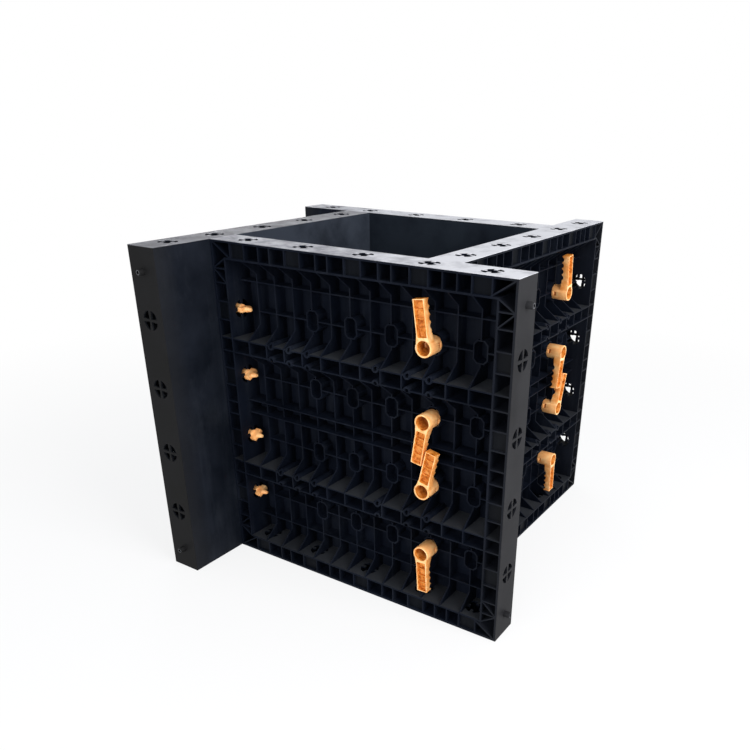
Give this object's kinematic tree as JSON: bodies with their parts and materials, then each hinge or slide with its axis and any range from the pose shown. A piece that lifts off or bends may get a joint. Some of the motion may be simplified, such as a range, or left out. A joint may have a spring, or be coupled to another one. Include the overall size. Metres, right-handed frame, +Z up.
{
  "type": "plastic column formwork panel set",
  "caption": "Ribbed plastic formwork panels closed round a square column in a pinwheel, with turning lever handles that lock the corners.",
  "frame": {"origin": "on the column's axis, level with the foot of the panels", "axes": "+Z up along the column; the front panel's smooth face looks along +Y and its ribs along -Y"},
  "size_m": [0.978, 0.978, 0.75],
  "materials": {
    "panel_plastic": "matt moulded blue-black polymer, dusty on its edges",
    "handle_nylon": "satin orange moulded nylon"
  },
  "bodies": {
    "form": {"panel_front": "panel_plastic", "panel_right": "panel_plastic", "panel_back": "panel_plastic", "panel_left": "panel_plastic"},
    "lock_front_1": {"handle_front_1": "handle_nylon"},
    "lock_front_2": {"handle_front_2": "handle_nylon"},
    "lock_front_3": {"handle_front_3": "handle_nylon"},
    "lock_front_4": {"handle_front_4": "handle_nylon"},
    "lock_right_1": {"handle_right_1": "handle_nylon"},
    "lock_right_2": {"handle_right_2": "handle_nylon"},
    "lock_right_3": {"handle_right_3": "handle_nylon"},
    "lock_right_4": {"handle_right_4": "handle_nylon"},
    "lock_back_1": {"handle_back_1": "handle_nylon"},
    "lock_back_2": {"handle_back_2": "handle_nylon"},
    "lock_back_3": {"handle_back_3": "handle_nylon"},
    "lock_back_4": {"handle_back_4": "handle_nylon"},
    "lock_left_1": {"handle_left_1": "handle_nylon"},
    "lock_left_2": {"handle_left_2": "handle_nylon"},
    "lock_left_3": {"handle_left_3": "handle_nylon"},
    "lock_left_4": {"handle_left_4": "handle_nylon"}
  },
  "joints": [
    {"name": "turn_front_1", "type": "hinge", "parent": "form", "child": "lock_front_1", "pos_m": [0.2875, -0.3, 0.15], "axis": [0, -1, 0], "range_deg": [0, 87]},
    {"name": "turn_front_2", "type": "hinge", "parent": "form", "child": "lock_front_2", "pos_m": [0.2875, -0.3, 0.3], "axis": [0, -1, 0], "range_deg": [-77, 0]},
    {"name": "turn_front_3", "type": "hinge", "parent": "form", "child": "lock_front_3", "pos_m": [0.2875, -0.3, 0.45], "axis": [0, -1, 0], "range_deg": [-81, 0]},
    {"name": "turn_front_4", "type": "hinge", "parent": "form", "child": "lock_front_4", "pos_m": [0.2875, -0.3, 0.6], "axis": [0, -1, 0], "range_deg": [0, 82]},
    {"name": "turn_right_1", "type": "hinge", "parent": "form", "child": "lock_right_1", "pos_m": [0.3, 0.2875, 0.15], "axis": [1, 0, 0], "range_deg": [0, 87]},
    {"name": "turn_right_2", "type": "hinge", "parent": "form", "child": "lock_right_2", "pos_m": [0.3, 0.2875, 0.3], "axis": [1, 0, 0], "range_deg": [-73, 0]},
    {"name": "turn_right_3", "type": "hinge", "parent": "form", "child": "lock_right_3", "pos_m": [0.3, 0.2875, 0.45], "axis": [1, 0, 0], "range_deg": [-81, 0]},
    {"name": "turn_right_4", "type": "hinge", "parent": "form", "child": "lock_right_4", "pos_m": [0.3, 0.2875, 0.6], "axis": [1, 0, 0], "range_deg": [0, 84]},
    {"name": "turn_back_1", "type": "hinge", "parent": "form", "child": "lock_back_1", "pos_m": [-0.2875, 0.3, 0.15], "axis": [0, 1, 0], "range_deg": [0, 87]},
    {"name": "turn_back_2", "type": "hinge", "parent": "form", "child": "lock_back_2", "pos_m": [-0.2875, 0.3, 0.3], "axis": [0, 1, 0], "range_deg": [-73, 0]},
    {"name": "turn_back_3", "type": "hinge", "parent": "form", "child": "lock_back_3", "pos_m": [-0.2875, 0.3, 0.45], "axis": [0, 1, 0], "range_deg": [-81, 0]},
    {"name": "turn_back_4", "type": "hinge", "parent": "form", "child": "lock_back_4", "pos_m": [-0.2875, 0.3, 0.6], "axis": [0, 1, 0], "range_deg": [0, 84]},
    {"name": "turn_left_1", "type": "hinge", "parent": "form", "child": "lock_left_1", "pos_m": [-0.3, -0.2875, 0.15], "axis": [-1, 0, 0], "range_deg": [0, 115]},
    {"name": "turn_left_2", "type": "hinge", "parent": "form", "child": "lock_left_2", "pos_m": [-0.3, -0.2875, 0.3], "axis": [-1, 0, 0], "range_deg": [-55, 0]},
    {"name": "turn_left_3", "type": "hinge", "parent": "form", "child": "lock_left_3", "pos_m": [-0.3, -0.2875, 0.45], "axis": [-1, 0, 0], "range_deg": [-61, 0]},
    {"name": "turn_left_4", "type": "hinge", "parent": "form", "child": "lock_left_4", "pos_m": [-0.3, -0.2875, 0.6], "axis": [-1, 0, 0], "range_deg": [0, 88]}
  ]
}
